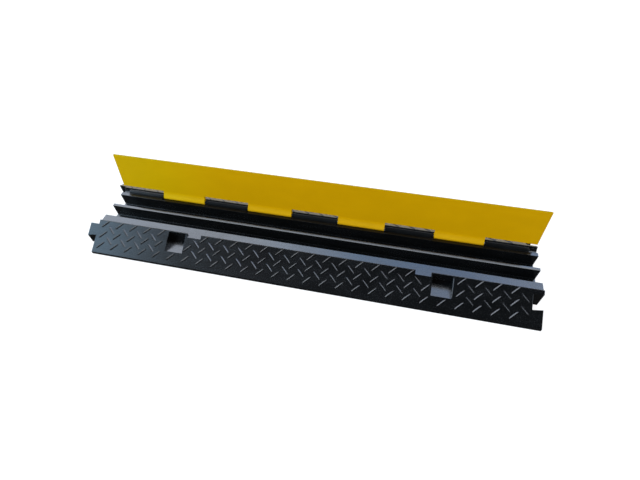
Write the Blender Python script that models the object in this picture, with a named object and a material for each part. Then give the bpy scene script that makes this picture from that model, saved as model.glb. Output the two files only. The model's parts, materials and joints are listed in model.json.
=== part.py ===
"""Two-channel rubber cable protector ramp with a hinged lid.

A one-piece rubber base carries two open cable channels between a front and a
rear ramp.  A full-length lid hangs on a rod that runs through nine interleaved
knuckles behind the rear channel.  The lid is modelled open, leaning on the rear
lip.  Origin: middle of the base's footprint, on the ground.  +X runs along the
ramp, +Y towards the hinge, +Z up.  Metres.
"""
import math

import bmesh
import bpy

MM = 0.001

# ---- base block -------------------------------------------------------------
LENGTH = 1000 * MM          # base, without the joining tongues
WIDTH = 250 * MM            # across both ramps
HEIGHT = 45 * MM            # top of the front lip
EDGE_H = 6.8 * MM           # upright edge at the foot of each ramp
RAMP_RUN = 70 * MM          # foot of the front ramp to its lip
LEDGE_Z = 39.5 * MM         # seat of the lid: ledges and divider
FLOOR_Z = 8.5 * MM          # channel floor
CHANNEL_W = 31 * MM
DIVIDER_W = 7 * MM

END_X = LENGTH / 2
FOOT_Y = -WIDTH / 2         # foot of the front ramp
SLOPE = math.atan2(HEIGHT - EDGE_H, RAMP_RUN)

# ---- hinge ------------------------------------------------------------------
AXIS_Y = 50 * MM            # hinge axis, from the middle of the base
AXIS_Z = 39.3 * MM
BARREL_R = 5.5 * MM
BORE_R = 2.8 * MM
KNUCKLES = 9                # base and lid take turns, the base at both ends
KNUCKLE_PITCH = 110.5 * MM
KNUCKLE_END = 480 * MM      # outer end of the end knuckles
BASE_SIDE_GAP = 1.3 * MM    # base trough, beyond each side of a lid knuckle's zone
LID_SIDE_GAP = 0.9 * MM     # lid notch, beyond each side of a base knuckle's zone
TROUGH_R = 5.9 * MM         # clearance round a lid knuckle
LIP_Y = 57 * MM             # front of the rear lip
LIP_RELIEF = 0.4 * MM       # more room at the lip in the troughs and open ends
GROOVE_DEG = 8              # where the base's barrel rises from the groove at the lip
OPEN_DEG = 99.5             # lid, from shut to leaning on the rear lip

# ---- hinge rod and its end plugs --------------------------------------------
ROD_R = 2.5 * MM
ROD_END = 470 * MM
PLUG_GAP = 0.3 * MM         # rod to plug, and end knuckle to plug head
PLUG_OUT = 1.5 * MM         # plug and head ends, beyond the end knuckle
PLUG_HEAD_OUT = 2.3 * MM
PLUG_HEAD_R = 4.3 * MM

# ---- lid --------------------------------------------------------------------
LID_LEN = 988 * MM
LID_T = 5 * MM
LID_REACH = 103.4 * MM      # hinge axis to the free edge
LID_NOTCH = 17.0 * MM       # hinge axis to the plate's edge beside the knuckles
CURL_R = 25 * MM            # hollow curve from the plate's underside into a knuckle

# The curl's centre and its joint with the barrel, from the axis with the lid shut.
LID_UNDER = BARREL_R - LID_T
CURL_BACK = math.sqrt((CURL_R + BARREL_R) ** 2 - (CURL_R - LID_UNDER) ** 2)
CURL_DEG = math.degrees(math.atan2(CURL_R - LID_UNDER, CURL_BACK))

# ---- joints to the next ramp: tongues at -X, slots at +X --------------------
# Widths are edge positions measured from the foot of the ramp.
TONGUE_LEN = 20.8 * MM
TONGUE_BACK = 60 * MM
TONGUE_TIP = 33.4 * MM
TONGUE_ROOT = 36.2 * MM
SLOT_LEN = 21 * MM
SLOT_BACK = 61 * MM
SLOT_MOUTH = 34 * MM
SLOT_INNER = 31.6 * MM

# ---- front pockets and finger notches ---------------------------------------
POCKET_X = 300 * MM         # middle of a pocket, either side of the centre
POCKET_W = 42 * MM
POCKET_FOOT = 27 * MM       # near and far walls, from the foot of the ramp
POCKET_HEAD = 67 * MM
POCKET_FLOOR = 18.5 * MM
FINGER_IN = 242.5 * MM      # inner and outer ends of a finger notch
FINGER_OUT = 276 * MM
FINGER_FOOT = 61 * MM       # front wall, from the foot of the ramp
FINGER_OVERCUT = 2 * MM     # past the front lip

# ---- anti-slip tread --------------------------------------------------------
TREAD_PITCH = 35.68 * MM
BARS_PER_ROW = 27
TREAD_X0 = 17.5 * MM        # first bar of a row, from the left end
TREAD_X1 = 36.5 * MM        # first bar of the rows that lean the other way
RAMP_ROWS = 5
RAMP_ROW = 11.1 * MM        # between a ramp's rows
FRONT_TOP_ROW = 61 * MM     # highest row, from the foot of the ramp
REAR_TOP_ROW = 58.5 * MM
REAR_SHIFT = -5.8 * MM      # rear ramp's bars, along X
LID_ROWS = 7
LID_ROW = 10.6 * MM         # between the lid's rows
LID_ROW0 = 93.6 * MM        # lid row furthest from the hinge axis
BAR_LEN = 22.8 * MM
BAR_W = 4.8 * MM
RAMP_BAR_H = 1.5 * MM
LID_BAR_H = 1.2 * MM
BAR_SUNK = 0.8 * MM         # foot of a bar below the surface
RIDGE_LEN = 0.95            # a bar's ridge over its foot
RIDGE_W = 0.18
BAR_REACH = BAR_LEN * 0.36  # reach allowed for a slanting bar, each way in X or Y
POCKET_LAP = 1 * MM         # how far that reach may overlap a pocket

# ---- cutters and round bars -------------------------------------------------
OVERCUT = 10 * MM           # cutters run this far past the base
TONGUE_OVERCUT = 5 * MM     # past the tongue tips
CUT_TOP = HEIGHT + OVERCUT
ROUND_SEGMENTS = 24


# ---- scene set-up -----------------------------------------------------------
for old in list(bpy.data.objects):
    bpy.data.objects.remove(old, do_unlink=True)

parts = bpy.data.collections.new("cable_protector_ramp")
cutters = bpy.data.collections.new("cutters")
for collection in (parts, cutters):
    bpy.context.scene.collection.children.link(collection)


def material(name, rgb, roughness, metallic=0.0):
    mat = bpy.data.materials.new(name)
    mat.use_nodes = True
    shader = mat.node_tree.nodes["Principled BSDF"]
    shader.inputs["Base Color"].default_value = (*rgb, 1.0)
    shader.inputs["Roughness"].default_value = roughness
    shader.inputs["Metallic"].default_value = metallic
    mat.diffuse_color = (*rgb, 1.0)
    return mat


# ---- shape helpers ----------------------------------------------------------
def link(name, mesh, col):
    """A new object in a collection; cutters stay out of renders."""
    obj = bpy.data.objects.new(name, mesh)
    col.objects.link(obj)
    if col is cutters:
        obj.hide_render = True
        obj.display_type = "WIRE"
    return obj


def link_bmesh(name, bm, col):
    mesh = bpy.data.meshes.new(name)
    bm.to_mesh(mesh)
    bm.free()
    return link(name, mesh, col)


def face_out(bm):
    """Turn every face of a closed body outwards."""
    bmesh.ops.recalc_face_normals(bm, faces=bm.faces)
    if bm.calc_volume(signed=True) < 0:
        bmesh.ops.reverse_faces(bm, faces=bm.faces)


def outline(name, points, low, high, col, along="X"):
    """A closed flat outline extruded from low to high along X or Z.

    For X the points are (y, z); for Z they are (x, y).
    """
    curve = bpy.data.curves.new(name + "_outline", "CURVE")
    curve.dimensions = "2D"
    curve.fill_mode = "BOTH"
    curve.extrude = (high - low) / 2
    spline = curve.splines.new("POLY")
    spline.points.add(len(points) - 1)
    for point, (across, up) in zip(spline.points, points):
        point.co = (across, up, 0.0, 1.0)
    spline.use_cyclic_u = True
    drawn = bpy.data.objects.new(name + "_drawn", curve)
    parts.objects.link(drawn)
    middle = (low + high) / 2
    if along == "X":
        drawn.rotation_euler = (math.pi / 2, 0.0, math.pi / 2)
        drawn.location = (middle, 0.0, 0.0)
    else:
        drawn.location = (0.0, 0.0, middle)
    bpy.context.view_layer.update()
    graph = bpy.context.evaluated_depsgraph_get()
    mesh = bpy.data.meshes.new_from_object(drawn.evaluated_get(graph))
    bm = bmesh.new()
    bm.from_mesh(mesh)
    bmesh.ops.remove_doubles(bm, verts=bm.verts, dist=0.02 * MM)
    for end in (-1, 1):                       # one flat face for each end
        cap = [f for f in bm.faces if all(v.co.z * end > 0 for v in f.verts)]
        if len(cap) > 1:
            bmesh.ops.dissolve_faces(bm, faces=cap)
    bmesh.ops.transform(bm, matrix=drawn.matrix_world, verts=bm.verts)
    face_out(bm)
    bm.to_mesh(mesh)
    bm.free()
    bpy.data.objects.remove(drawn, do_unlink=True)
    mesh.name = name
    return link(name, mesh, col)


def block_cutter(name, low, high):
    """A box between two corners."""
    bm = bmesh.new()
    bmesh.ops.create_cube(bm, size=1.0)
    size = [h - l for l, h in zip(low, high)]
    middle = [(l + h) / 2 for l, h in zip(low, high)]
    bmesh.ops.scale(bm, vec=size, verts=bm.verts)
    bmesh.ops.translate(bm, vec=middle, verts=bm.verts)
    return link_bmesh(name, bm, cutters)


def round_bar(name, x0, x1, y, z, radius, col):
    """A round bar along X."""
    bm = bmesh.new()
    bmesh.ops.create_cone(bm, cap_ends=True, segments=ROUND_SEGMENTS,
                          radius1=radius, radius2=radius, depth=x1 - x0)
    for vert in bm.verts:
        across, up, along = vert.co
        vert.co = ((x0 + x1) / 2 + along, y + across, z + up)
    face_out(bm)
    return link_bmesh(name, bm, col)


def boolean(obj, other, operation="DIFFERENCE"):
    mod = obj.modifiers.new(other.name, "BOOLEAN")
    mod.operation = operation
    mod.solver = "EXACT"
    mod.object = other


def arc(cy, cz, radius, start, end, steps):
    """Points on an arc, angles in degrees from +Y towards +Z."""
    angles = [math.radians(start + (end - start) * i / steps) for i in range(steps + 1)]
    return [(cy + radius * math.cos(angle), cz + radius * math.sin(angle))
            for angle in angles]


def ramp_z(from_foot):
    """Height of a ramp's face at a distance from its foot."""
    return EDGE_H + math.tan(SLOPE) * from_foot


def x_span(side, inner, outer):
    """Two distances from the centre as (low, high) X; side is -1 left, 1 right."""
    return sorted((side * inner, side * outer))


# ---- tread helpers ----------------------------------------------------------
def bar_places(rows, shift=0.0):
    """(row, lean, x) of every bar; alternate rows lean opposite ways."""
    for row in range(rows):
        lean = 1 if row % 2 == 0 else -1
        start = (TREAD_X0 if lean > 0 else TREAD_X1) + shift
        for k in range(BARS_PER_ROW):
            yield row, lean, -END_X + start + TREAD_PITCH * k


def slanted_bar(middle, lean, crosswise, normal):
    """A bar at 45 degrees to X on a surface: (middle, along, across, normal)."""
    c = math.sqrt(0.5)
    along = (c, lean * c * crosswise[1], lean * c * crosswise[2])
    across = (-lean * c, c * crosswise[1], c * crosswise[2])
    return middle, along, across, normal


def tread(name, bars, height):
    """Low tapered bars, each given as slanted_bar returns it."""
    bm = bmesh.new()
    for middle, along, across, normal in bars:
        made = bmesh.ops.create_cube(bm, size=1.0)
        for vert in made["verts"]:
            a, b, c = vert.co
            ridge = c > 0
            length = BAR_LEN * (RIDGE_LEN if ridge else 1.0) * a
            width = BAR_W * (RIDGE_W if ridge else 1.0) * b
            lift = height if ridge else -BAR_SUNK
            vert.co = [m + length * p + width * q + lift * r
                       for m, p, q, r in zip(middle, along, across, normal)]
    face_out(bm)
    return link_bmesh(name, bm, cutters)


# ---- knuckle layout ---------------------------------------------------------
zones = [(KNUCKLE_PITCH * (i - KNUCKLES / 2), KNUCKLE_PITCH * (i + 1 - KNUCKLES / 2))
         for i in range(KNUCKLES)]
base_zones = zones[0::2]
lid_zones = zones[1::2]


# =============================================================================
# Base
# =============================================================================
def base_outline():
    """(y, z) section, from the front foot along the ground and back over the top."""
    half_divider = DIVIDER_W / 2
    channel_out = half_divider + CHANNEL_W
    groove_z = AXIS_Z + BARREL_R * math.sin(math.radians(GROOVE_DEG))
    # the barrel's front meets the ledge a little above the axis
    ledge_back = AXIS_Y - math.sqrt(BARREL_R ** 2 - (LEDGE_Z - AXIS_Z) ** 2)
    return (
        [(FOOT_Y, 0.0), (-FOOT_Y, 0.0), (-FOOT_Y, EDGE_H),
         (LIP_Y, ramp_z(WIDTH / 2 - LIP_Y)), (LIP_Y, groove_z)]
        + arc(AXIS_Y, AXIS_Z, BARREL_R, GROOVE_DEG, 180, 12)[:-1]
        + [(ledge_back, LEDGE_Z),
           (channel_out, LEDGE_Z), (channel_out, FLOOR_Z),
           (half_divider, FLOOR_Z), (half_divider, LEDGE_Z),
           (-half_divider, LEDGE_Z), (-half_divider, FLOOR_Z),
           (-channel_out, FLOOR_Z), (-channel_out, LEDGE_Z),
           (FOOT_Y + RAMP_RUN, LEDGE_Z), (FOOT_Y + RAMP_RUN, HEIGHT),
           (FOOT_Y, EDGE_H)])


def cut_joints(base):
    """Leave only two tongues beyond the left end; cut two slots at the right."""
    far_x = END_X + TONGUE_LEN + TONGUE_OVERCUT
    for name, inward in (("front", 1), ("rear", -1)):
        foot = inward * FOOT_Y
        tongue_tip_y = foot + inward * TONGUE_TIP
        tongue = [(-far_x, foot - inward * OVERCUT),
                  (-END_X, foot - inward * OVERCUT),
                  (-END_X, foot + inward * TONGUE_ROOT),
                  (-END_X - TONGUE_LEN, tongue_tip_y),
                  (-far_x, tongue_tip_y)]
        slot = [(END_X + OVERCUT, foot + inward * SLOT_MOUTH),
                (END_X, foot + inward * SLOT_MOUTH),
                (END_X - SLOT_LEN, foot + inward * SLOT_INNER),
                (END_X - SLOT_LEN, foot + inward * SLOT_BACK),
                (END_X + OVERCUT, foot + inward * SLOT_BACK)]
        for kind, shape in (("tongue", tongue), ("slot", slot)):
            boolean(base, outline(f"cut_{kind}_{name}", shape,
                                  -OVERCUT, CUT_TOP, cutters, along="Z"))
    between = -FOOT_Y - TONGUE_BACK
    boolean(base, block_cutter("cut_end", (-far_x, -between, -OVERCUT),
                               (-END_X, between, CUT_TOP)))


def cut_front_openings(base):
    """Pockets and finger notches in the front ramp."""
    for name, side in (("left", -1), ("right", 1)):
        x0, x1 = x_span(side, POCKET_X - POCKET_W / 2, POCKET_X + POCKET_W / 2)
        boolean(base, block_cutter("cut_pocket_" + name,
                                   (x0, FOOT_Y + POCKET_FOOT, POCKET_FLOOR),
                                   (x1, FOOT_Y + POCKET_HEAD, CUT_TOP)))
        x0, x1 = x_span(side, FINGER_IN, FINGER_OUT)
        boolean(base, block_cutter("cut_finger_" + name,
                                   (x0, FOOT_Y + FINGER_FOOT, LEDGE_Z),
                                   (x1, FOOT_Y + RAMP_RUN + FINGER_OVERCUT, CUT_TOP)))


def cut_hinge_room(base):
    """A trough for each lid knuckle, the open ends of the hinge, and the bore."""
    curl_y = AXIS_Y - CURL_BACK
    curl_z = AXIS_Z + LID_UNDER - CURL_R
    clearance = TROUGH_R - BARREL_R
    relief_y = LIP_Y + LIP_RELIEF
    lip_side = [(relief_y, AXIS_Z), (relief_y, CUT_TOP)]
    trough = (arc(curl_y, curl_z, CURL_R - clearance, 90, CURL_DEG, 6)
              + arc(AXIS_Y, AXIS_Z, TROUGH_R, 180 + CURL_DEG, 360, 9)[1:]
              + lip_side + [(curl_y, CUT_TOP)])
    for i, (x0, x1) in enumerate(lid_zones):
        boolean(base, outline(f"cut_trough_{i}", trough,
                              x0 - BASE_SIDE_GAP, x1 + BASE_SIDE_GAP, cutters))
    open_end = (arc(AXIS_Y, AXIS_Z, TROUGH_R, 180, 360, 12)
                + lip_side + [(AXIS_Y - TROUGH_R, CUT_TOP)])
    for name, side in (("left", -1), ("right", 1)):
        x0, x1 = x_span(side, KNUCKLE_END, END_X + OVERCUT)
        boolean(base, outline("cut_open_" + name, open_end, x0, x1, cutters))
    boolean(base, round_bar("cut_base_bore", -END_X, END_X, AXIS_Y, AXIS_Z, BORE_R, cutters))


def clear_of_openings(x, from_foot):
    """True where a front bar misses the pockets and finger notches."""
    head = from_foot + BAR_REACH
    in_pocket = (head > POCKET_FOOT - POCKET_LAP
                 and abs(abs(x) - POCKET_X) < POCKET_W / 2 + BAR_REACH - POCKET_LAP)
    in_notch = (head > FINGER_FOOT
                and FINGER_IN - BAR_REACH < abs(x) < FINGER_OUT + BAR_REACH)
    return not (in_pocket or in_notch)


def ramp_bars(inward, top_row, shift=0.0):
    """Bars of one ramp; inward is 1 for the front ramp, -1 for the rear."""
    uphill = (0.0, inward * math.cos(SLOPE), math.sin(SLOPE))
    normal = (0.0, -inward * math.sin(SLOPE), math.cos(SLOPE))
    bars = []
    for row, lean, x in bar_places(RAMP_ROWS, shift):
        from_foot = top_row - RAMP_ROW * row
        if inward < 0 or clear_of_openings(x, from_foot):
            middle = (x, inward * (FOOT_Y + from_foot), ramp_z(from_foot))
            bars.append(slanted_bar(middle, lean, uphill, normal))
    return bars


def build_base():
    base = outline("base", base_outline(), -END_X - TONGUE_LEN, END_X, parts)
    cut_joints(base)
    cut_front_openings(base)
    cut_hinge_room(base)
    bars = ramp_bars(1, FRONT_TOP_ROW) + ramp_bars(-1, REAR_TOP_ROW, REAR_SHIFT)
    boolean(base, tread("add_base_tread", bars, RAMP_BAR_H), "UNION")
    base.data.materials.append(
        material("black_rubber", rgb=(0.02, 0.022, 0.025), roughness=0.42))


# =============================================================================
# Lid: drawn shut about its own hinge axis, then swung open
# =============================================================================
def lid_outline():
    """(y, z) section of the plate and a knuckle, from the hinge axis."""
    points = ([(-LID_REACH, LID_UNDER), (-LID_REACH, BARREL_R)]
              + arc(0, 0, BARREL_R, 90, -180 + CURL_DEG, 14)
              + arc(-CURL_BACK, LID_UNDER - CURL_R, CURL_R, CURL_DEG, 90, 6)[1:])
    return points[::-1]


def lid_cutters():
    """Notches that clear the base knuckles, then the bore."""
    made = []
    last = len(base_zones) - 1
    for i, (x0, x1) in enumerate(base_zones):
        low = x0 - LID_SIDE_GAP if i > 0 else -END_X
        high = x1 + LID_SIDE_GAP if i < last else END_X
        made.append(block_cutter(f"cut_lid_notch_{i}", (low, -LID_NOTCH, -OVERCUT),
                                 (high, OVERCUT, OVERCUT)))
    made.append(round_bar("cut_lid_bore", -END_X, END_X, 0, 0, BORE_R, cutters))
    return made


def build_lid():
    pivot = bpy.data.objects.new("lid_pivot", None)
    parts.objects.link(pivot)
    lid = outline("lid", lid_outline(), -LID_LEN / 2, LID_LEN / 2, parts)
    helpers = lid_cutters()
    for cutter in helpers:
        boolean(lid, cutter)
    bars = [slanted_bar((x, -LID_ROW0 + LID_ROW * row, BARREL_R), lean,
                        (0.0, 1.0, 0.0), (0.0, 0.0, 1.0))
            for row, lean, x in bar_places(LID_ROWS)]
    lid_tread = tread("add_lid_tread", bars, LID_BAR_H)
    boolean(lid, lid_tread, "UNION")
    lid.data.materials.append(
        material("yellow_plastic", rgb=(0.46, 0.27, 0.0), roughness=0.5))

    for piece in [lid, lid_tread] + helpers:
        piece.parent = pivot
    pivot.location = (0.0, AXIS_Y, AXIS_Z)
    pivot.rotation_euler = (-math.radians(OPEN_DEG), 0.0, 0.0)


# =============================================================================
# Hinge rod and its end plugs
# =============================================================================
def axis_bar(name, x0, x1, radius, col):
    """A round bar on the hinge axis."""
    return round_bar(name, x0, x1, AXIS_Y, AXIS_Z, radius, col)


def finish_round(obj, mat):
    """Smooth sides with sharp rims, and a material."""
    obj.data.materials.append(mat)
    obj.data.shade_smooth()
    obj.data.set_sharp_from_angle(angle=math.radians(35))


def build_rod():
    rod = axis_bar("hinge_rod", -ROD_END, ROD_END, ROD_R, parts)
    finish_round(rod, material("steel", rgb=(0.55, 0.55, 0.56), roughness=0.35, metallic=1.0))


def build_plugs():
    plastic = material("plug_plastic", rgb=(0.03, 0.03, 0.03), roughness=0.5)
    for name, side in (("left", -1), ("right", 1)):
        x0, x1 = x_span(side, ROD_END + PLUG_GAP, KNUCKLE_END + PLUG_OUT)
        plug = axis_bar("rod_plug_" + name, x0, x1, ROD_R, parts)
        x0, x1 = x_span(side, KNUCKLE_END + PLUG_GAP, KNUCKLE_END + PLUG_HEAD_OUT)
        head = axis_bar("add_plug_head_" + name, x0, x1, PLUG_HEAD_R, cutters)
        boolean(plug, head, "UNION")
        finish_round(plug, plastic)


build_base()
build_lid()
build_rod()
build_plugs()
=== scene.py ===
"""A rubber ramp with three cable channels and a hinged yellow lid, which lies open.

The ramp's length runs along X.  The front ramp rises from -Y and the rear ramp from +Y, each
from its foot towards the middle.  Joining tongues stick out of the left end (-X), and the
right end (+X) has matching slots.  The hinge's axis runs along X, behind the channels.
"""
import json
import math

import bmesh
import bpy
from mathutils import Matrix, Vector


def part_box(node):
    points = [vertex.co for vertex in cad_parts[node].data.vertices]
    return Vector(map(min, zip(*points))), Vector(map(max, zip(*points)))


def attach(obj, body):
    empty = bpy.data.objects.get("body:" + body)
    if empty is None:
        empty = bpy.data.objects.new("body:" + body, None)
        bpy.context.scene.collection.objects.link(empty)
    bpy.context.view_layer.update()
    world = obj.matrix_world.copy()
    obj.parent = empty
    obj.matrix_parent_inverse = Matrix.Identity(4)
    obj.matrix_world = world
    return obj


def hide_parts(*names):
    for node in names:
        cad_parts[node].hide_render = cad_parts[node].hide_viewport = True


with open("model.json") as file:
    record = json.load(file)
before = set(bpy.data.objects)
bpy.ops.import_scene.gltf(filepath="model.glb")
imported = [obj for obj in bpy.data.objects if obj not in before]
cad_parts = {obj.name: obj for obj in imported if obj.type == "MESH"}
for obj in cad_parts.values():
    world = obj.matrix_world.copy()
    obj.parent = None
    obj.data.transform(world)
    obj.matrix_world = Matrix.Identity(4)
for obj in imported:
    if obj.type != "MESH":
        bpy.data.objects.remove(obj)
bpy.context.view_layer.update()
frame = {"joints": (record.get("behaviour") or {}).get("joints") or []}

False          # nothing is simulated, so a quick build is the same as a full one

# =============================================================================
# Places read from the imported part
# =============================================================================
MM = 0.001
base_low, base_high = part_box("base")
lid_low, lid_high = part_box("lid")
rod_low, rod_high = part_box("hinge_rod")
hinge = frame["joints"][0]
AXIS = Vector(hinge["pos_m"])
AXIS_Y, AXIS_Z = AXIS.y, AXIS.z
OPEN = math.radians(hinge["range_deg"][1])

HALF = base_high.x                     # right end of the base
TONGUE_END = base_low.x                # tips of the joining tongues
FOOT_Y = base_low.y                    # foot of the front ramp
REAR_Y = base_high.y                   # foot of the rear ramp
LID_HALF = (lid_high.x - lid_low.x) / 2
ROD_R = (rod_high.z - rod_low.z) / 2
ROD_END = rod_high.x

# =============================================================================
# Sizes
# =============================================================================
# ramps
HEIGHT = 45 * MM
EDGE_H = 6.8 * MM                      # height of the upright edge at the foot
RAMP_RUN = 70 * MM
SLOPE = math.atan2(HEIGHT - EDGE_H, RAMP_RUN)

# channels, with a divider on either side of the middle one's place at y = 0
LEDGE_Z = 39.5 * MM                    # seat of the shut lid
FLOOR_Z = 8.5 * MM
CHANNEL_W = 31 * MM
DIVIDER_W = 7 * MM
DIVIDER_HALF = DIVIDER_W / 2
CHANNEL_OUT = DIVIDER_HALF + CHANNEL_W
CROWN_R = 42 * MM                      # the divider's domed top, lower at the front
CROWN_Y = 2.7 * MM
CROWN_Z = LEDGE_Z - CROWN_R

# hinge
BARREL_R = 5.5 * MM
BORE_R = 2.8 * MM
KNUCKLES = 9                           # base and lid by turns, the base's at both ends
KNUCKLE_PITCH = 110.5 * MM
KNUCKLE_END = 480 * MM
BASE_SIDE_GAP = 1.3 * MM
LID_SIDE_GAP = 0.9 * MM
TROUGH_R = 5.9 * MM
LIP_Y = 57 * MM                        # top edge of the rear ramp

# lid
LID_T = 5 * MM
LID_REACH = 103.4 * MM                 # axis to free edge
LID_NOTCH = 17.0 * MM
LID_UNDER = BARREL_R - LID_T           # underside of the shut lid above the axis
CURL_R = 25 * MM                       # hollow between the underside and the knuckles
CURL_ACROSS = math.sqrt((CURL_R + BARREL_R) ** 2 - (CURL_R - LID_UNDER) ** 2)
CURL_DEG = math.degrees(math.atan2(CURL_R - LID_UNDER, CURL_ACROSS))

# tongues and slots, measured in from the foot of their ramp
TONGUE_BACK = 60 * MM
TONGUE_TIP = 33.4 * MM
TONGUE_ROOT = 36.2 * MM
TONGUE_LEN = -HALF - TONGUE_END
SLOT_BACK = 61 * MM
SLOT_MOUTH = 34 * MM
SLOT_INNER = 31.6 * MM
SLOT_LEN = 21 * MM

# pockets and finger recesses in the front ramp: x from the middle, y from the foot
POCKET_X = 300 * MM
POCKET_W = 42 * MM
POCKET_FOOT = 27 * MM
POCKET_HEAD = 67 * MM
POCKET_FLOOR = 18.5 * MM
FINGER_IN = 242.5 * MM
FINGER_OUT = 276 * MM
FINGER_FOOT = 61 * MM

# raised bars, in rows that lean left and right by turns
BAR_LEN = 22.8 * MM
BAR_W = 4.8 * MM
BAR_H = 1.5 * MM
BAR_FLANK = 0.23 * MM                  # how far the flanks run down into the face
BAR_SINK = 0.8 * MM                    # depth of the hidden foot
BARS_PER_ROW = 27
BAR_PITCH = 35.68 * MM
EVEN_ROW_X = 17.5 * MM                 # first bar's distance from the left end
ODD_ROW_X = 36.5 * MM
RAMP_ROWS = 5
RAMP_ROW_PITCH = 11.1 * MM
FRONT_TOP_ROW = 61 * MM
REAR_TOP_ROW = 58.5 * MM
REAR_SHIFT = -5.8 * MM
LID_BAR_H = 1.2 * MM
LID_ROWS = 7
LID_ROW_PITCH = 10.6 * MM
LID_FIRST_ROW = 93.6 * MM

# rounding of the cut edges
SOFT_EDGE = 0.32 * MM
WORN_EDGE = 1.2 * MM
SOFT_ANGLE = math.radians(32)

CLEAR = 10 * MM                        # how far a cutter overshoots
FAR_X = HALF + 30 * MM
SIDES = (("front", 1), ("rear", -1))   # name and direction in from the foot
ENDS = (("left", -1), ("right", 1))


def ramp_z(inward):
    """Height of a ramp's face at a distance in from its foot."""
    return EDGE_H + math.tan(SLOPE) * inward


def crown_z(y):
    return CROWN_Z + math.sqrt(CROWN_R ** 2 - (y - CROWN_Y) ** 2)


# =============================================================================
# Mesh tools
# =============================================================================
work = bpy.data.collections.new("work")
looks = bpy.data.collections.new("looks")
bpy.context.scene.collection.children.link(work)
bpy.context.scene.collection.children.link(looks)


def mesh_object(name, bm, collection):
    bmesh.ops.recalc_face_normals(bm, faces=bm.faces)
    if bm.calc_volume(signed=True) < 0:
        bmesh.ops.reverse_faces(bm, faces=bm.faces)
    mesh = bpy.data.meshes.new(name)
    bm.to_mesh(mesh)
    bm.free()
    obj = bpy.data.objects.new(name, mesh)
    collection.objects.link(obj)
    return obj


def rounded(points, steps=4):
    """Corner list (a, b, radius) to an outline with its corners rounded."""
    outline = []
    count = len(points)
    for i, (a, b, radius) in enumerate(points):
        if radius <= 0:
            outline.append((a, b))
            continue
        corner = Vector((a, b))
        back = Vector(points[i - 1][:2]) - corner
        ahead = Vector(points[(i + 1) % count][:2]) - corner
        turn = back.angle(ahead)
        reach = min(radius / math.tan(turn / 2), 0.45 * back.length, 0.45 * ahead.length)
        radius = reach * math.tan(turn / 2)
        back.normalize()
        ahead.normalize()
        centre = corner + (back + ahead).normalized() * (radius / math.sin(turn / 2))
        start = corner + back * reach - centre
        end = corner + ahead * reach - centre
        swing = start.angle(end)
        for k in range(steps + 1):
            t = k / steps
            spoke = start * math.sin((1 - t) * swing) + end * math.sin(t * swing)
            outline.append(tuple(centre + spoke / math.sin(swing)))
    return outline


def rectangle(x0, x1, y0, y1, front_radius=0, rear_radius=0):
    return rounded([(x0, y0, front_radius), (x1, y0, front_radius),
                    (x1, y1, rear_radius), (x0, y1, rear_radius)])


def arc(centre_a, centre_b, radius, start, end, steps):
    """Points of an arc, angles in degrees."""
    angles = [math.radians(start + (end - start) * i / steps) for i in range(steps + 1)]
    return [(centre_a + radius * math.cos(t), centre_b + radius * math.sin(t)) for t in angles]


def bore(centre_y, centre_z):
    return arc(centre_y, centre_z, BORE_R, 0, 360 - 360 / 28, 27)


def prism(name, points, low, high, collection=work, along="X"):
    """A closed outline drawn out along X, points (y, z), or along Z, points (x, y)."""
    bm = bmesh.new()
    near, far = [[bm.verts.new((d, a, b) if along == "X" else (a, b, d)) for a, b in points]
                 for d in (low, high)]
    count = len(points)
    for i in range(count):
        j = (i + 1) % count
        bm.faces.new((near[i], near[j], far[j], far[i]))
    bm.faces.new(near)
    bm.faces.new(far)
    return mesh_object(name, bm, collection)


def upright_cut(name, points, low=-CLEAR, high=HEIGHT + CLEAR):
    return prism(name, points, low, high, along="Z")


def lathe(name, profile, segments):
    """A closed profile (x, radius) turned about the hinge's axis, radius 0 at both ends."""
    bm = bmesh.new()
    first = bm.verts.new((profile[0][0], AXIS_Y, AXIS_Z))
    last = bm.verts.new((profile[-1][0], AXIS_Y, AXIS_Z))
    rings = []
    for x, radius in profile[1:-1]:
        angles = [2 * math.pi * k / segments for k in range(segments)]
        rings.append([bm.verts.new((x, AXIS_Y + radius * math.cos(t),
                                    AXIS_Z + radius * math.sin(t))) for t in angles])
    for k in range(segments):
        j = (k + 1) % segments
        bm.faces.new((first, rings[0][k], rings[0][j]))
        bm.faces.new((last, rings[-1][j], rings[-1][k]))
        for ring, following in zip(rings, rings[1:]):
            bm.faces.new((ring[k], ring[j], following[j], following[k]))
    return mesh_object(name, bm, looks)


def settle(obj):
    """Turns the modifiers into mesh."""
    bpy.context.view_layer.update()
    graph = bpy.context.evaluated_depsgraph_get()
    mesh = bpy.data.meshes.new_from_object(obj.evaluated_get(graph))
    obj.modifiers.clear()
    obj.data = mesh


def carve(obj, cuts, raised):
    """Takes the cuts away, then joins the raised bars."""
    tools = cuts + [raised]
    for tool in tools:
        mod = obj.modifiers.new(tool.name, "BOOLEAN")
        mod.operation = "UNION" if tool is raised else "DIFFERENCE"
        mod.solver = "EXACT"
        mod.object = tool
    settle(obj)
    for tool in tools:
        bpy.data.objects.remove(tool, do_unlink=True)
    bm = bmesh.new()
    bm.from_mesh(obj.data)
    bmesh.ops.remove_doubles(bm, verts=bm.verts, dist=0.000002)
    bm.to_mesh(obj.data)
    bm.free()


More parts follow.
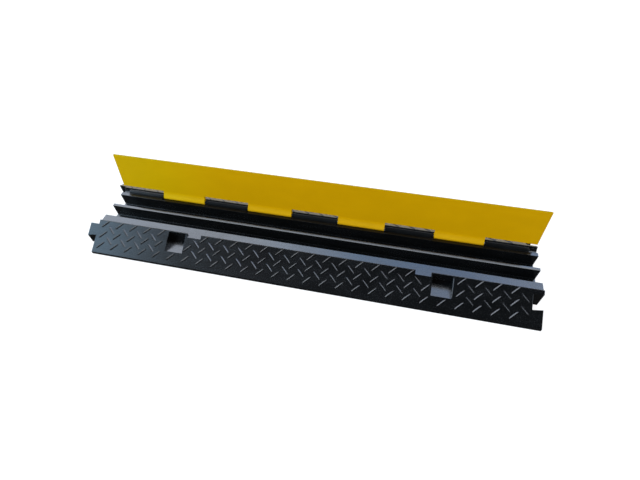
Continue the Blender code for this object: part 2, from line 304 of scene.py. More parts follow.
def soften(obj, on_bar, fine_work, worn=None):
    """Rounds the edges that the cuts left, but not the raised bars or the fine work.
    An edge that worn picks is rounded to the worn width, the others to the soft width."""
    widest = WORN_EDGE if worn else SOFT_EDGE
    bm = bmesh.new()
    bm.from_mesh(obj.data)
    weights = bm.edges.layers.float
    layer = weights.get("bevel_weight_edge") or weights.new("bevel_weight_edge")
    for edge in bm.edges:
        if len(edge.link_faces) != 2 or edge.calc_face_angle(0.0) < SOFT_ANGLE:
            continue
        if any(on_bar(face.calc_center_median()) for face in edge.link_faces):
            continue
        if any(fine_work(vert.co) for vert in edge.verts):
            continue
        is_worn = worn and all(worn(vert.co) for vert in edge.verts)
        edge[layer] = 1.0 if is_worn else SOFT_EDGE / widest
    bm.to_mesh(obj.data)
    bm.free()
    mod = obj.modifiers.new("soft_edges", "BEVEL")
    mod.width = widest
    mod.segments = 2
    mod.limit_method = "WEIGHT"
    mod.use_clamp_overlap = False
    mod.miter_outer = "MITER_ARC"
    settle(obj)


def smooth(obj, degrees=38):
    """Smooth shading in which the large faces stay flat."""
    obj.data.shade_smooth()
    obj.data.set_sharp_from_angle(angle=math.radians(degrees))
    mod = obj.modifiers.new("flat_faces", "WEIGHTED_NORMAL")
    mod.mode = "FACE_AREA"
    mod.weight = 50
    mod.keep_sharp = True
    settle(obj)


# =============================================================================
# Raised bars
# =============================================================================
# places of the rings along half-length 1, and of the points across half-width 1
BAR_STATIONS = [-1.0, -0.94, -0.82, -0.5, 0.0, 0.5, 0.82, 0.94, 1.0]
BAR_CROSSWISE = [1.0, 0.70, 0.44, 0.20, 0.0, -0.20, -0.44, -0.70, -1.0]


def bar_grid(rows, shift=0.0):
    """Row number, x and lean of every bar."""
    for row in range(rows):
        lean = 1 if row % 2 == 0 else -1
        start = (EVEN_ROW_X if lean > 0 else ODD_ROW_X) + shift
        for k in range(BARS_PER_ROW):
            yield row, -HALF + start + BAR_PITCH * k, lean


def tread(name, bars, height):
    """Lens-shaped bars at 45 degrees, with sloping flanks, a soft ridge and run-out ends.
    Each bar is (middle, uphill, up, lean)."""
    bm = bmesh.new()
    c = math.sqrt(0.5)
    for middle, uphill, up, lean in bars:
        along = Vector((c, lean * c * uphill[1], lean * c * uphill[2]))
        across = Vector((-lean * c, c * uphill[1], c * uphill[2]))
        up = Vector(up)
        rings = []
        for t in BAR_STATIONS:
            # both taper slowly, then the width closes quickly at the tips
            wide = BAR_W / 2 * (1 - 0.12 * t * t) * math.sqrt(max(0.0, 1 - abs(t) ** 9 * 0.72))
            tall = height * (1 - 0.20 * abs(t) ** 6) + BAR_FLANK
            centre = Vector(middle) + along * (BAR_LEN / 2 * t)
            ring = [centre + across * wide - up * BAR_SINK]
            for side in BAR_CROSSWISE:
                lift = tall * (1 - abs(side) ** 1.28) - BAR_FLANK
                ring.append(centre + across * (wide * side) + up * lift)
            ring.append(centre - across * wide - up * BAR_SINK)
            rings.append([bm.verts.new(point) for point in ring])
        count = len(rings[0])
        for ring, following in zip(rings, rings[1:]):
            for i in range(count):
                j = (i + 1) % count
                bm.faces.new((ring[i], ring[j], following[j], following[i]))
        bm.faces.new(rings[0])
        bm.faces.new(rings[-1])
    return mesh_object(name, bm, work)


def clear_of_openings(x, inward):
    reach = BAR_LEN * 0.36
    x = abs(x)
    over_pocket = (inward + reach > POCKET_FOOT - 1 * MM
                   and abs(x - POCKET_X) < POCKET_W / 2 + reach - 1 * MM)
    over_finger = inward + reach > FINGER_FOOT and FINGER_IN - reach < x < FINGER_OUT + reach
    return not (over_pocket or over_finger)


def ramp_bars(sign, top_row, shift=0.0):
    """Bars of the front (sign 1) or rear (sign -1) ramp, from the top row down."""
    uphill = (0.0, sign * math.cos(SLOPE), math.sin(SLOPE))
    up = (0.0, -sign * math.sin(SLOPE), math.cos(SLOPE))
    bars = []
    for row, x, lean in bar_grid(RAMP_ROWS, shift):
        inward = top_row - RAMP_ROW_PITCH * row
        if sign < 0 or clear_of_openings(x, inward):
            bars.append(((x, sign * (FOOT_Y + inward), ramp_z(inward)), uphill, up, lean))
    return bars


# =============================================================================
# Base
# =============================================================================
zones = [(KNUCKLE_PITCH * (i - KNUCKLES / 2), KNUCKLE_PITCH * (i + 1 - KNUCKLES / 2))
         for i in range(KNUCKLES)]
base_zones = zones[0::2]
lid_zones = zones[1::2]


def base_outline():
    """The base's section, points (y, z)."""
    lip_z = ramp_z(-FOOT_Y - LIP_Y)
    barrel_start = 8                   # degrees above the axis, at the lip
    barrel = arc(AXIS_Y, AXIS_Z, BARREL_R, barrel_start, 180, 22)
    barrel = [p for p in barrel if not (p[0] < AXIS_Y and p[1] < LEDGE_Z + 0.2 * MM)]
    barrel_foot = AXIS_Y - math.sqrt(BARREL_R ** 2 - (LEDGE_Z - AXIS_Z) ** 2)
    lip_foot = AXIS_Z + BARREL_R * math.sin(math.radians(barrel_start))
    ramp_top = FOOT_Y + RAMP_RUN
    # y, z, corner radius
    return rounded(
        [(FOOT_Y, 0.0, 0.6 * MM), (REAR_Y, 0.0, 0.6 * MM), (REAR_Y, EDGE_H, 1.4 * MM),
         (LIP_Y, lip_z, 1.5 * MM), (LIP_Y, lip_foot, 0)]
        + [(y, z, 0) for y, z in barrel]
        + [(barrel_foot, LEDGE_Z, 0), (CHANNEL_OUT, LEDGE_Z, 1.1 * MM),
           (CHANNEL_OUT, FLOOR_Z, 2.0 * MM), (DIVIDER_HALF, FLOOR_Z, 2.0 * MM),
           (DIVIDER_HALF, crown_z(DIVIDER_HALF), 0.5 * MM)]
        + [(y * MM, crown_z(y * MM), 0) for y in (2.2, 1.1, 0.0, -1.1, -2.2)]
        + [(-DIVIDER_HALF, crown_z(-DIVIDER_HALF), 0.5 * MM),
           (-DIVIDER_HALF, FLOOR_Z, 2.0 * MM), (-CHANNEL_OUT, FLOOR_Z, 2.0 * MM),
           (-CHANNEL_OUT, LEDGE_Z, 0.9 * MM), (ramp_top, LEDGE_Z, 0),
           (ramp_top, HEIGHT, 1.1 * MM), (FOOT_Y, EDGE_H, 1.4 * MM)])


def joint_cuts():
    """Frees the tongues at the left end and opens the slots at the right end."""
    cuts = []
    for side, sign in SIDES:
        foot = sign * FOOT_Y
        tip_y = foot + sign * (TONGUE_TIP - 0.8 * MM)
        shape = [(-FAR_X, foot - sign * CLEAR), (-HALF, foot - sign * CLEAR),
                 (-HALF, foot + sign * TONGUE_ROOT),
                 (-HALF - TONGUE_LEN - 6 * MM, tip_y), (-FAR_X, tip_y)]
        cuts.append(upright_cut("cut_tongue_" + side, shape))
        mouth_y, back_y = foot + sign * SLOT_MOUTH, foot + sign * SLOT_BACK
        shape = [(HALF + CLEAR, mouth_y, 0), (HALF, mouth_y, 0),
                 (HALF - SLOT_LEN, foot + sign * SLOT_INNER, 1.2 * MM),
                 (HALF - SLOT_LEN, back_y, 1.2 * MM), (HALF + CLEAR, back_y, 0)]
        cuts.append(upright_cut("cut_slot_" + side, rounded(shape)))
    between = -FOOT_Y - TONGUE_BACK
    cuts.append(upright_cut("cut_end", rectangle(-FAR_X, -HALF, -between, between)))
    return cuts


def front_ramp_cuts():
    """A pocket and a finger recess towards each end of the front ramp."""
    cuts = []
    for end, sign in ENDS:
        x0, x1 = sorted((sign * (POCKET_X - POCKET_W / 2), sign * (POCKET_X + POCKET_W / 2)))
        shape = rectangle(x0, x1, FOOT_Y + POCKET_FOOT, FOOT_Y + POCKET_HEAD,
                          front_radius=1.0 * MM, rear_radius=1.0 * MM)
        cuts.append(upright_cut("cut_pocket_" + end, shape, low=POCKET_FLOOR))
        x0, x1 = sorted((sign * FINGER_IN, sign * FINGER_OUT))
        shape = rectangle(x0, x1, FOOT_Y + FINGER_FOOT, FOOT_Y + RAMP_RUN + 3 * MM,
                          front_radius=1.6 * MM)
        cuts.append(upright_cut("cut_finger_" + end, shape, low=LEDGE_Z))
    return cuts


def hinge_cuts():
    """Troughs for the lid's knuckles, clear ends outside the hinge, and the bore."""
    top = HEIGHT + CLEAR
    relief_y = LIP_Y + 0.4 * MM
    curl_y, curl_z = AXIS_Y - CURL_ACROSS, AXIS_Z + LID_UNDER - CURL_R
    trough = (arc(curl_y, curl_z, CURL_R - (TROUGH_R - BARREL_R), 90, CURL_DEG, 8)
              + arc(AXIS_Y, AXIS_Z, TROUGH_R, 180 + CURL_DEG, 360, 16)[1:]
              + [(relief_y, AXIS_Z), (relief_y, top), (curl_y, top)])
    cuts = [prism("cut_trough_%d" % i, trough, x0 - BASE_SIDE_GAP, x1 + BASE_SIDE_GAP)
            for i, (x0, x1) in enumerate(lid_zones)]
    clear_end = (arc(AXIS_Y, AXIS_Z, TROUGH_R, 180, 360, 20)
                 + [(relief_y, AXIS_Z), (relief_y, top), (AXIS_Y - TROUGH_R, top)])
    cuts.append(prism("cut_open_left", clear_end, -HALF - CLEAR, -KNUCKLE_END))
    cuts.append(prism("cut_open_right", clear_end, KNUCKLE_END, HALF + CLEAR))
    cuts.append(prism("cut_bore", bore(AXIS_Y, AXIS_Z), -HALF - CLEAR, HALF + CLEAR))
    return cuts


def on_ramp_bar(p):
    """True above the flat face of either ramp."""
    inward = min(p.y - FOOT_Y, REAR_Y - p.y)
    return (0 < inward < RAMP_RUN + 2 * MM and abs(p.y) > LIP_Y - 1 * MM
            and (p.z - ramp_z(inward)) * math.cos(SLOPE) > 0.01 * MM)


def near_hinge(p):
    """True round the barrels and troughs, where the steps are finer than the rounding."""
    return CHANNEL_OUT - 0.3 * MM < p.y < LIP_Y + 2.2 * MM and p.z > 30 * MM


def worn_edge(p):
    """True on the two edges of the front ramp that are rounded wider: the right
    pocket's outer edge and the front slot's inner edge."""
    inward = p.y - FOOT_Y
    if abs(p.z - ramp_z(inward)) > 0.06 * MM:
        return False
    if abs(p.x - POCKET_X - POCKET_W / 2) < 0.02 * MM:
        return POCKET_FOOT + 0.9 * MM < inward < POCKET_HEAD - 0.9 * MM
    return (abs(p.x - HALF + SLOT_LEN) < 0.02 * MM
            and SLOT_INNER + 1.1 * MM < inward < SLOT_BACK - 1.1 * MM)


def build_base():
    obj = prism("ramp_base", base_outline(), TONGUE_END, HALF, looks)
    cuts = joint_cuts() + front_ramp_cuts() + hinge_cuts()
    bars = ramp_bars(1, FRONT_TOP_ROW) + ramp_bars(-1, REAR_TOP_ROW, REAR_SHIFT)
    carve(obj, cuts, tread("base_bars", bars, BAR_H))
    soften(obj, on_ramp_bar, near_hinge, worn_edge)
    smooth(obj)
    return obj


# =============================================================================
# Lid, drawn shut about its own axis, then opened
# =============================================================================
def lid_notches():
    """Gaps for the base's knuckles; the outer two run to the ends."""
    last = len(base_zones) - 1
    cuts = []
    for i, (x0, x1) in enumerate(base_zones):
        low = x0 - LID_SIDE_GAP if i > 0 else -HALF
        high = x1 + LID_SIDE_GAP if i < last else HALF
        cuts.append(upright_cut("cut_lid_notch_%d" % i,
                                rectangle(low, high, -LID_NOTCH, CLEAR), high=CLEAR))
    return cuts


def build_lid():
    knuckle = arc(0, 0, BARREL_R, 90, -180 + CURL_DEG, 30)
    curl = arc(-CURL_ACROSS, LID_UNDER - CURL_R, CURL_R, CURL_DEG, 90, 12)[1:]
    outline = ([(-LID_REACH, LID_UNDER, 0.9 * MM), (-LID_REACH, BARREL_R, 1.3 * MM)]
               + [(y, z, 0) for y, z in knuckle + curl])
    obj = prism("lid_panel", rounded(outline), -LID_HALF, LID_HALF, looks)
    cuts = lid_notches() + [prism("cut_lid_bore", bore(0, 0), -HALF, HALF)]
    bars = [((x, -LID_FIRST_ROW + LID_ROW_PITCH * row, BARREL_R),
             (0.0, 1.0, 0.0), (0.0, 0.0, 1.0), lean) for row, x, lean in bar_grid(LID_ROWS)]
    carve(obj, cuts, tread("lid_bars", bars, LID_BAR_H))
    soften(obj, on_bar=lambda p: p.y < -LID_NOTCH and p.z > BARREL_R + 0.01 * MM,
           fine_work=lambda p: p.y > -LID_NOTCH - 1 * MM)
    obj.data.transform(Matrix.Translation(AXIS) @ Matrix.Rotation(-OPEN, 4, "X"))
    smooth(obj)
    return obj


# =============================================================================
# Rod and plugs
# =============================================================================
def build_rod():
    """A pin with blunted ends and a shallow groove near each."""
    blunt = 0.5 * MM
    groove_r = ROD_R - 0.25 * MM
    # distance in from the end, radius
    end = [(0, 0), (0, ROD_R - blunt), (0.2 * MM, ROD_R - 0.7 * blunt),
           (blunt, ROD_R - 0.1 * blunt), (1.4 * blunt, ROD_R), (8 * MM, ROD_R),
           (8.3 * MM, groove_r), (9.3 * MM, groove_r), (9.6 * MM, ROD_R)]
    profile = [(-ROD_END + d, r) for d, r in end] + [(ROD_END - d, r) for d, r in reversed(end)]
    obj = lathe("rod_pin", profile, 40)
    smooth(obj, 50)
    return obj


def build_plug(end, sign):
    """A stem as thick as the rod, and a domed head with a dimple."""
    low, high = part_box("rod_plug_" + end)
    head_r = (high.z - low.z) / 2
    inner, outer = sorted((abs(low.x), abs(high.x)))
    seat = outer - 2.0 * MM
    # distance from the ramp's middle, radius
    profile = [(inner, 0), (inner, ROD_R - 0.5 * MM), (inner + 0.5 * MM, ROD_R),
               (seat, ROD_R), (seat, head_r - 0.15 * MM), (seat + 0.15 * MM, head_r),
               (outer - 1.1 * MM, head_r), (outer - 0.55 * MM, head_r - 0.35 * MM),
               (outer - 0.15 * MM, head_r - 1.1 * MM), (outer, head_r - 2.0 * MM),
               (outer, 1.3 * MM), (outer - 0.35 * MM, 1.0 * MM), (outer - 0.45 * MM, 0)]
    obj = lathe("plug_" + end, [(sign * x, r) for x, r in profile], 32)
    smooth(obj, 50)
    return obj


# =============================================================================
# Shader nodes
# =============================================================================
class Nodes:
    """Short names for building the nodes of a material or a world."""

    def __init__(self, owner, space="Object"):
        owner.use_nodes = True
        self.owner = owner
        self.tree = owner.node_tree
        self.pos = self.add("ShaderNodeTexCoord").outputs[space]

    def feed(self, socket, value):
        if isinstance(value, bpy.types.NodeSocket):
            self.tree.links.new(value, socket)
        elif isinstance(value, tuple) and len(value) == 3 and socket.type == "RGBA":
            socket.default_value = (*value, 1.0)
        else:
            socket.default_value = value

    def add(self, kind, inputs=None, **settings):
        node = self.tree.nodes.new(kind)
        for name, value in settings.items():
            setattr(node, name, value)
        for key, value in (inputs or {}).items():
            self.feed(node.inputs[key], value)
        return node

    def noise(self, scale, detail=3.0, rough=0.55, vector=None, distortion=0.0):
        return self.add("ShaderNodeTexNoise", {
            "Vector": vector or self.pos, "Scale": scale, "Detail": detail,
            "Roughness": rough, "Distortion": distortion}).outputs["Fac"]

    def cells(self, scale):
        return self.add("ShaderNodeTexVoronoi",
                        {"Vector": self.pos, "Scale": scale}).outputs["Distance"]

    def stretch(self, scale, turn=(0.0, 0.0, 0.0)):
        return self.add("ShaderNodeMapping", {
            "Vector": self.pos, "Scale": scale, "Rotation": turn}).outputs["Vector"]

    def span(self, value, between, to=(0.0, 1.0), interpolation="SMOOTHSTEP"):
        """Maps the two values of between to the two of to, and holds them beyond."""
        return self.add("ShaderNodeMapRange", {
            "Value": value, "From Min": between[0], "From Max": between[1],
            "To Min": to[0], "To Max": to[1]}, interpolation_type=interpolation).outputs["Result"]

    def math(self, operation, a, b=0.0):
        return self.add("ShaderNodeMath", {0: a, 1: b}, operation=operation).outputs[0]

    def plus(self, a, b):
        return self.math("ADD", a, b)

    def minus(self, a, b):
        return self.math("SUBTRACT", a, b)

    def times(self, a, b):
        return self.math("MULTIPLY", a, b)

    def larger(self, a, b):
        return self.math("MAXIMUM", a, b)

    def size(self, a):
        return self.math("ABSOLUTE", a)

    def near(self, value, place, outer, inner):
        """1 within the inner distance of a place, 0 beyond the outer one."""
        return self.span(self.size(self.minus(value, place)), (outer, inner))

    def mix(self, factor, a, b, blend="MIX"):
        return self.add("ShaderNodeMix", {0: factor, 6: a, 7: b},
                        data_type="RGBA", blend_type=blend).outputs[2]

    def tint(self, colour, by, blend="MULTIPLY"):
        return self.mix(1.0, colour, by, blend)

    def axis(self, letter):
        return self.add("ShaderNodeSeparateXYZ", {0: self.pos}).outputs[letter]

    def along(self, direction):
        """Distance along a direction, from the origin."""
        return self.add("ShaderNodeVectorMath", {0: self.pos, 1: direction},
                        operation="DOT_PRODUCT").outputs["Value"]

    def bump(self, height, strength, distance, normal=None):
        inputs = {"Height": height, "Strength": strength, "Distance": distance}
        if normal is not None:
            inputs["Normal"] = normal
        return self.add("ShaderNodeBump", inputs).outputs["Normal"]

    def choose(self, factor, a, b):
        """Shader a where the factor is 0, b where it is 1."""
        return self.add("ShaderNodeMixShader", {0: factor, 1: a, 2: b}).outputs[0]

    def surface(self, **values):
        principled = self.tree.nodes["Principled BSDF"]
        for key, value in values.items():
            self.feed(principled.inputs[key.replace("_", " ")], value)
        return self.owner


# =============================================================================
# Materials
# =============================================================================
def rubber():
    n = Nodes(bpy.data.materials.new("look_black_rubber"))

    def above_face(sign, foot):
        """Height above a ramp's face: 0 on the face, 1.5 mm on a bar's crest."""
        normal = (0.0, -sign * math.sin(SLOPE), math.cos(SLOPE))
        return n.minus(n.along(normal), normal[1] * foot + normal[2] * EDGE_H)

    front = above_face(1, FOOT_Y)
    rear = above_face(-1, REAR_Y)
    on_crest = (1.25 * MM, 1.5 * MM)
    crest = n.larger(n.span(front, on_crest), n.span(rear, on_crest))
    x = n.axis("X")
    y = n.axis("Y")
    z = n.axis("Z")
    # flow marks from moulding, long and soft along the ramp
    flow = n.noise(scale=26.0, detail=4.0, rough=0.6, distortion=0.8,
                   vector=n.stretch((0.35, 1.0, 1.0), turn=(0.0, 0.0, 0.25)))
    blotch = n.noise(scale=9.0, rough=0.5)
    fine = n.noise(scale=420.0, rough=0.65)
    grain = n.noise(scale=1500.0, detail=2.0, rough=0.6)
    pits = n.cells(scale=700.0)
    # dust that settles low down and in the channels
    low = n.span(z, (20 * MM, 0.0))
    channel = n.times(n.span(n.size(y), (36 * MM, 33 * MM)), n.span(z, (12 * MM, 8 * MM)))
    dust = n.times(n.larger(n.times(low, 0.35), channel), n.span(fine, (0.55, 0.75)))
    # fine scuffs across the ramps, in two directions
    scuff = n.noise(scale=55.0, detail=5.0, rough=0.7,
                    vector=n.stretch((1.0, 7.0, 7.0), turn=(0.0, 0.0, 0.9)))
    cross = n.noise(scale=70.0, detail=5.0, rough=0.7,
                    vector=n.stretch((6.0, 1.0, 6.0), turn=(0.0, 0.0, -0.5)))
    scuffs = n.larger(n.times(n.span(scuff, (0.62, 0.74)), n.span(blotch, (0.45, 0.6))),
                      n.times(n.span(cross, (0.63, 0.75)), n.span(blotch, (0.55, 0.42))))
    # black, greyer on the crests and in the scuffs
    colour = n.mix(n.span(flow, (0.3, 0.7)),
                   (0.0026, 0.0029, 0.0031), (0.0048, 0.0051, 0.0054))
    colour = n.mix(n.times(crest, n.span(fine, (0.3, 0.6), to=(0.35, 1.0))),
                   colour, (0.014, 0.0145, 0.015))
    colour = n.mix(n.times(scuffs, 0.20), colour, (0.030, 0.031, 0.032))

    def highlight_line(edge_x, first, last):
        """A painted highlight line along Y that fades at both ends, which are measured from the
        foot.
        """
        return n.times(n.near(x, edge_x, outer=1.0 * MM, inner=0.5 * MM),
                       n.times(n.span(y, (FOOT_Y + first, FOOT_Y + first + 4 * MM)),
                               n.span(y, (FOOT_Y + last, FOOT_Y + last - 4 * MM))))

    # painted highlight: the two wider-rounded edges are painted paler, as if catching the light
    pocket_highlight = highlight_line(POCKET_X + POCKET_W / 2 + 0.45 * MM, POCKET_FOOT, POCKET_HEAD)
    slot_highlight = highlight_line(HALF - SLOT_LEN - 0.45 * MM, SLOT_INNER, SLOT_BACK)
    edge_highlight = n.times(n.plus(pocket_highlight, n.times(slot_highlight, 0.45)),
                     n.times(n.span(front, (-2.2 * MM, -0.8 * MM)),
                             n.span(fine, (0.25, 0.6), to=(0.6, 1.0))))
    colour = n.mix(edge_highlight, colour, (0.105, 0.107, 0.110))
    colour = n.mix(n.times(dust, 0.22), colour, (0.060, 0.060, 0.057))
    # dust and scuffs are duller
    rough = n.span(flow, (0.25, 0.75), to=(0.20, 0.27))
    rough = n.plus(rough, n.times(dust, 0.25))
    rough = n.plus(rough, n.times(scuffs, 0.10))
    rough = n.plus(rough, n.span(fine, (0.3, 0.7), to=(-0.03, 0.03)))
    # the barrels and the rear seat are dull where the lid's knuckles rub past them
    barrel = n.times(n.near(y, AXIS_Y, outer=6.6 * MM, inner=5.6 * MM),
                     n.span(z, (36 * MM, 38 * MM)))
    rough = n.plus(rough, n.times(barrel, 0.36))
    used = n.times(n.span(x, (-490 * MM, -300 * MM)), n.span(x, (482 * MM, 474 * MM)))
    ledge = n.times(n.span(y, (33 * MM, 34 * MM)), n.span(y, (57.2 * MM, 56.8 * MM)))
    lip = n.times(n.span(y, (56.6 * MM, 57.0 * MM)), n.span(y, (61.6 * MM, 60.6 * MM)))
    seat = n.times(n.span(z, (36 * MM, 38 * MM)), n.larger(n.times(ledge, used), lip))
    # so are the rear ramp's bars, which the open lid lies on
    rear_bars = n.times(n.span(rear, (0.15 * MM, 0.5 * MM)), n.span(y, (80 * MM, 72 * MM)))
    sheen = n.span(n.larger(seat, rear_bars), (0.0, 1.0), to=(0.50, 0.18))
    waves = n.bump(flow, strength=0.35, distance=0.5 * MM)
    skin = n.bump(n.plus(fine, n.times(pits, 0.4)), strength=0.12, distance=0.25 * MM,
                  normal=waves)
    top = n.bump(grain, strength=0.08, distance=0.10 * MM, normal=skin)
    return n.surface(Base_Color=colour, Roughness=rough, Normal=top, IOR=1.5,
                     Specular_IOR_Level=sheen)


def yellow():
    n = Nodes(bpy.data.materials.new("look_yellow_plastic"))
    drift = n.noise(scale=4.0, detail=2.0, rough=0.5)
    cloud = n.noise(scale=22.0, detail=4.0, vector=n.stretch((0.5, 1.0, 1.0)), distortion=0.4)
    fine = n.noise(scale=650.0, rough=0.6)
    stipple = n.cells(scale=900.0)
    streaks = n.noise(scale=60.0, detail=5.0, rough=0.7,
                      vector=n.stretch((1.0, 8.0, 8.0), turn=(0.3, 0.0, 0.2)))
    rub = n.times(n.span(streaks, (0.66, 0.78)), n.span(drift, (0.45, 0.6)))
    colour = n.mix(n.span(cloud, (0.3, 0.7)), (0.710, 0.360, 0.0008), (0.745, 0.380, 0.0010))
    # painted light: the colour is tinted greener towards the left end, standing in for cooler
    # light from that side
    x = n.axis("X")
    left = n.plus(n.span(x, (-0.20, -0.44), to=(0.0, 0.78)),
                  n.span(x, (0.02, -0.30), to=(0.0, 0.22)))
    colour = n.mix(left, colour, n.tint(colour, (1.03, 1.25, 1.0)))
    # paler where rubbed, with fine darker flecks
    colour = n.mix(n.times(rub, 0.25), colour, (0.80, 0.45, 0.010))
    colour = n.mix(n.span(fine, (0.62, 0.8), to=(0.0, 0.10)), colour, (0.55, 0.28, 0.001))
    # chalky where the knuckles rub, grimy along the free edge
    # painted sheen: the knuckles are painted slightly less red with a touch of blue, standing in
    # for light glancing off them; painted shade: darker along the free edge
    knuckle = n.span(n.axis("Z"), (53 * MM, 47 * MM))
    knuckle_sheen = n.tint(n.tint(colour, (0.96, 1.0, 1.0)), (0.0, 0.0, 0.005), blend="ADD")
    colour = n.mix(knuckle, colour, knuckle_sheen)
    reach = n.minus(n.along((0.0, -math.cos(OPEN), math.sin(OPEN))),
                    -math.cos(OPEN) * AXIS_Y + math.sin(OPEN) * AXIS_Z)
    # painted shade: the last millimetre before the free edge is painted darker
    edge_shade = n.span(reach, (LID_REACH - 1.3 * MM, LID_REACH - 0.4 * MM))
    colour = n.mix(edge_shade, colour, n.tint(colour, (0.74, 0.80, 1.0)))
    rough = n.plus(n.span(cloud, (0.3, 0.7), to=(0.52, 0.62)), n.times(rub, -0.12))
    waves = n.bump(cloud, strength=0.10, distance=0.4 * MM)
    skin = n.bump(n.plus(fine, n.times(stipple, 0.5)), strength=0.12, distance=0.15 * MM,
                  normal=waves)
    return n.surface(Base_Color=colour, Roughness=rough, Normal=skin, IOR=1.45,
                     Specular_IOR_Level=0.12, Specular_Tint=(1.0, 0.72, 0.02))


def steel():
    """Steel drawn along X, with dark spots."""
    n = Nodes(bpy.data.materials.new("look_rod_steel"))
    drawn = n.noise(scale=60.0, detail=4.0, rough=0.6, vector=n.stretch((0.15, 12.0, 12.0)))
    spots = n.span(n.noise(scale=240.0, detail=4.0, rough=0.6), (0.60, 0.72))
    colour = n.mix(n.span(drawn, (0.3, 0.7)), (0.34, 0.34, 0.35), (0.48, 0.48, 0.48))
    colour = n.mix(n.times(spots, 0.6), colour, (0.16, 0.14, 0.12))
    rough = n.plus(n.span(drawn, (0.3, 0.7), to=(0.30, 0.45)), n.times(spots, 0.25))
    skin = n.bump(drawn, strength=0.25, distance=0.05 * MM)
    return n.surface(Base_Color=colour, Metallic=1.0, Roughness=rough, Normal=skin)


def plug_plastic():
    n = Nodes(bpy.data.materials.new("look_plug_plastic"))
    cloud = n.noise(scale=180.0, rough=0.5)
    fine = n.noise(scale=2400.0, detail=2.0, rough=0.6)
    colour = n.mix(n.span(cloud, (0.35, 0.7)), (0.016, 0.016, 0.017), (0.026, 0.026, 0.027))
    return n.surface(Base_Color=colour, Roughness=n.span(cloud, (0.3, 0.7), to=(0.42, 0.55)),
                     Normal=n.bump(fine, strength=0.2, distance=0.05 * MM), IOR=1.48)


def pale_floor():
    """Evenly pale to the camera, matt as a source of bounced light, and in the ramp's
    reflections dark in front, warm and bright behind, and grey to the left."""
    n = Nodes(bpy.data.materials.new("pale_floor"))
    n.surface(Base_Color=(0.30, 0.30, 0.30), Roughness=0.9, Specular_IOR_Level=0.0)
    matt = n.tree.nodes["Principled BSDF"].outputs[0]
    place = n.add("ShaderNodeSeparateXYZ", {0: n.pos}).outputs
    brightness = n.plus(n.larger(n.span(place["Y"], (0.12, 0.45), to=(0.0, 2.2)),
                                 n.span(place["X"], (-0.55, -0.68), to=(0.0, 0.45))), 0.06)
    warmth = n.mix(n.span(place["Y"], (0.08, 0.20)), (0.94, 0.98, 1.0), (1.0, 0.90, 0.70))
    mirrored = n.add("ShaderNodeEmission", {"Color": warmth, "Strength": brightness})
    glow = n.add("ShaderNodeEmission", {"Color": (1.0, 1.0, 1.0), "Strength": 0.86})
    seen = n.add("ShaderNodeAddShader", {0: matt, 1: glow.outputs[0]})
    ray = n.add("ShaderNodeLightPath").outputs
    shader = n.choose(ray["Is Glossy Ray"], matt, mirrored.outputs[0])
    shader = n.choose(ray["Is Camera Ray"], shader, seen.outputs[0])
    n.feed(n.tree.nodes["Material Output"].inputs["Surface"], shader)
    return n.owner


# =============================================================================
# Floor, light and camera
# =============================================================================
def build_floor():
    bm = bmesh.new()
    bmesh.ops.create_grid(bm, x_segments=4, y_segments=4, size=15.0)
    mesh = bpy.data.meshes.new("floor")
    bm.to_mesh(mesh)
    bm.free()
    floor = bpy.data.objects.new("floor", mesh)
    looks.objects.link(floor)
    floor.location = (0.0, 0.0, -0.0002)
    mesh.materials.append(pale_floor())


class Studio(Nodes):
    """Areas of light, each in a direction seen from the ramp."""

    def scaled(self, colour, factor):
        return self.add("ShaderNodeVectorMath", {0: colour, "Scale": factor},
                        operation="SCALE").outputs["Vector"]

    def lobe(self, direction, power, colour, strength):
        """A soft bright area; a higher power makes it smaller."""
        facing = self.along(Vector(direction).normalized())
        return self.scaled(tuple(c * strength for c in colour),
                           self.math("POWER", self.larger(facing, 0.0), power))

    def window(self, direction, edge, core, colour):
        """An evenly bright area; edge and core are cosines of its soft border."""
        facing = self.along(Vector(direction).normalized())
        return self.scaled(colour, self.span(facing, (edge, core)))

    def panel(self, angle, half, soft, stops):
        """A long softbox parallel to the ramp.  angle is measured from +Y up and over
        to -Y; half and soft are its half-width and soft border in degrees; stops are
        (distance along x over distance away, colour)."""
        t = math.radians(angle)
        away = self.along((0, math.cos(t), math.sin(t)))
        safe = self.larger(away, 0.02)
        over = self.along((0, -math.sin(t), math.cos(t)))
        side = self.along((1, 0, 0))
        wide, edge = math.tan(math.radians(half)), math.tan(math.radians(half + soft))
        band = self.times(
            self.span(self.size(self.math("DIVIDE", over, safe)), (edge, wide)),
            self.span(away, (0.02, 0.10)))
        low, high = stops[0][0], stops[-1][0]
        top = max(max(colour) for _, colour in stops)
        place = self.span(self.math("DIVIDE", side, safe), (low, high), interpolation="LINEAR")
        ramp = self.add("ShaderNodeValToRGB", {"Fac": place})
        ramp.color_ramp.interpolation = "EASE"
        marks = ramp.color_ramp.elements
        while len(marks) < len(stops):
            marks.new(0.5)
        # all are placed before any is coloured, in case a move changes their order
        for mark, (at, _) in zip(marks, stops):
            mark.position = (at - low) / (high - low)
        for mark, (_, colour) in zip(marks, stops):
            mark.color = (*[c / top for c in colour], 1.0)
        return self.scaled(ramp.outputs["Color"], self.times(band, top))

    def room(self, lights, ambient):
        total = lights[0]
        for light in lights[1:] + [ambient]:
            total = self.add("ShaderNodeVectorMath", {0: total, 1: light},
                             operation="ADD").outputs["Vector"]
        return self.add("ShaderNodeBackground", {"Color": total}).outputs[0]


# stops of the panels: distance along x over distance away, colour
OFF = (0.0, 0.0, 0.0)
SOFTBOX = [(-2.2, OFF), (-1.4, (5.4, 5.9, 6.6)), (0.80, (5.4, 5.8, 6.4)),
           (1.8, (4.8, 5.2, 5.8)), (2.8, OFF)]
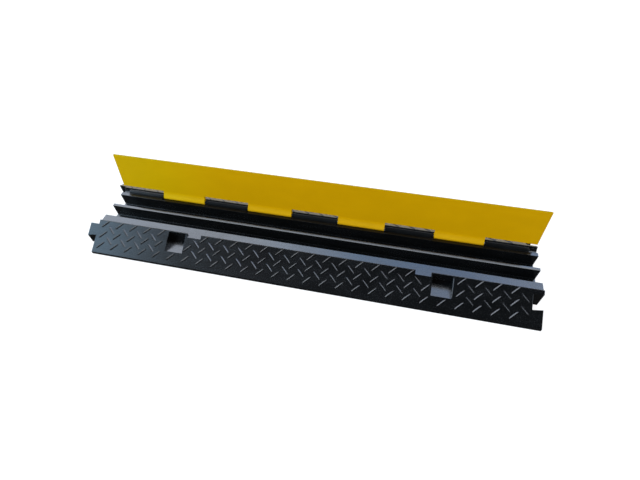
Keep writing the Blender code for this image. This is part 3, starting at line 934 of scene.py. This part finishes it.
# whiter to the left and bluer to the right
WALL = [(-2.2, OFF), (-1.2, (4.6, 5.1, 6.1)), (-0.66, (4.3, 5.0, 6.3)),
        (-0.52, (5.7, 6.3, 7.4)), (-0.35, (6.1, 6.8, 7.9)), (-0.18, (4.8, 6.1, 8.2)),
        (-0.03, (2.1, 3.5, 5.9)), (0.24, (1.9, 3.0, 5.3)), (0.35, (4.1, 5.5, 8.1)),
        (0.60, (4.2, 5.0, 6.6)), (1.4, (4.2, 4.7, 5.4)), (2.2, OFF)]
DIM_WALL = [(at, tuple(0.3 * c for c in colour)) for at, colour in WALL]
FRONT_FILL = [(-2.4, OFF), (-1.2, (1.17, 1.19, 1.26)), (0.3, (1.25, 1.19, 1.15)),
              (1.4, (1.13, 1.09, 1.06)), (2.4, OFF)]
LEFT = (-0.80, -0.24, 0.55)
BEHIND = (0.0, 1.0, 0.02)


def build_world():
    world = bpy.data.worlds.new("studio")
    bpy.context.scene.world = world
    world.use_nodes = True
    world.node_tree.nodes.clear()
    n = Studio(world, "Generated")
    # what lights the part: dim wall behind, broad high fill in front, cool light to the left
    soft = n.room([
        n.panel(angle=54.0, half=9.0, soft=6.0, stops=DIM_WALL),
        n.panel(angle=134.0, half=18.0, soft=16.0, stops=FRONT_FILL),
        n.lobe(LEFT, power=16.0, colour=(0.66, 1.0, 1.33), strength=6.2),
        n.lobe(BEHIND, power=5.0, colour=(1.0, 1.0, 1.0), strength=1.2),
    ], ambient=(0.07, 0.08, 0.09))
    # what the part mirrors: softbox high behind, wall below it, window to the left, dark front
    mirror = n.room([
        n.panel(angle=69.0, half=8.5, soft=3.5, stops=SOFTBOX),
        n.panel(angle=52.2, half=3.7, soft=3.2, stops=WALL),
        n.window(LEFT, edge=0.927, core=0.952, colour=(1.9, 2.4, 3.0)),
        n.window(LEFT, edge=0.948, core=0.966, colour=(0.0, 1.1, 2.0)),
        n.lobe(LEFT, power=9.0, colour=(1.0, 1.02, 1.08), strength=0.95),
        n.lobe((-0.85, 0.42, 0.25), power=10.0, colour=(1.0, 1.05, 1.10), strength=3.0),
        n.lobe(BEHIND, power=5.0, colour=(1.0, 1.0, 1.0), strength=0.8),
    ], ambient=(0.03, 0.03, 0.032))
    white = n.add("ShaderNodeBackground", {"Color": (1.0, 1.0, 1.0), "Strength": 1.02})
    ray = n.add("ShaderNodeLightPath").outputs
    shader = n.choose(ray["Is Glossy Ray"], soft, mirror)
    shader = n.choose(ray["Is Camera Ray"], shader, white.outputs[0])
    n.add("ShaderNodeOutputWorld", {"Surface": shader})


def build_camera():
    """In front of the ramp and above it, looking down and back."""
    data = bpy.data.cameras.new("camera")
    data.sensor_width = 36.0
    data.sensor_fit = "HORIZONTAL"
    data.lens = 22.417
    data.clip_start = 0.01
    data.clip_end = 100.0
    camera = bpy.data.objects.new("camera", data)
    bpy.context.scene.collection.objects.link(camera)
    right = Vector((0.977476, 0.210107, -0.019892))
    down = Vector((0.150830, -0.761393, -0.630501))
    ahead = Vector((-0.147618, 0.613299, -0.775934))
    turn = Matrix((right, -down, -ahead)).transposed().to_4x4()
    camera.matrix_world = Matrix.Translation((0.1597, -0.5661, 0.7405)) @ turn
    bpy.context.scene.camera = camera


# =============================================================================
# Build
# =============================================================================
base = build_base()
lid = build_lid()
rod = build_rod()
plugs = [(end, build_plug(end, sign)) for end, sign in ENDS]

for piece in (base, lid):
    piece.data.materials.clear()       # the cuts may have left an empty slot
base.data.materials.append(rubber())
lid.data.materials.append(yellow())
rod.data.materials.append(steel())
plug_look = plug_plastic()
for end, plug in plugs:
    plug.data.materials.append(plug_look)

# piece, what it moves with, the part it replaces, its material slot
roles = [(base, "base", "base", "black_rubber"),
         (lid, "lid", "lid", "yellow_plastic"),
         (rod, "base", "hinge_rod", "rod_steel")]
roles += [(plug, "base", "rod_plug_" + end, "plug_plastic") for end, plug in plugs]
for piece, carrier, part, slot in roles:
    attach(piece, carrier)
    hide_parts(part)

build_floor()
build_world()
build_camera()
bpy.context.scene.view_settings.view_transform = "Standard"

bpy.data.collections.remove(work)
bpy.context.view_layer.update()
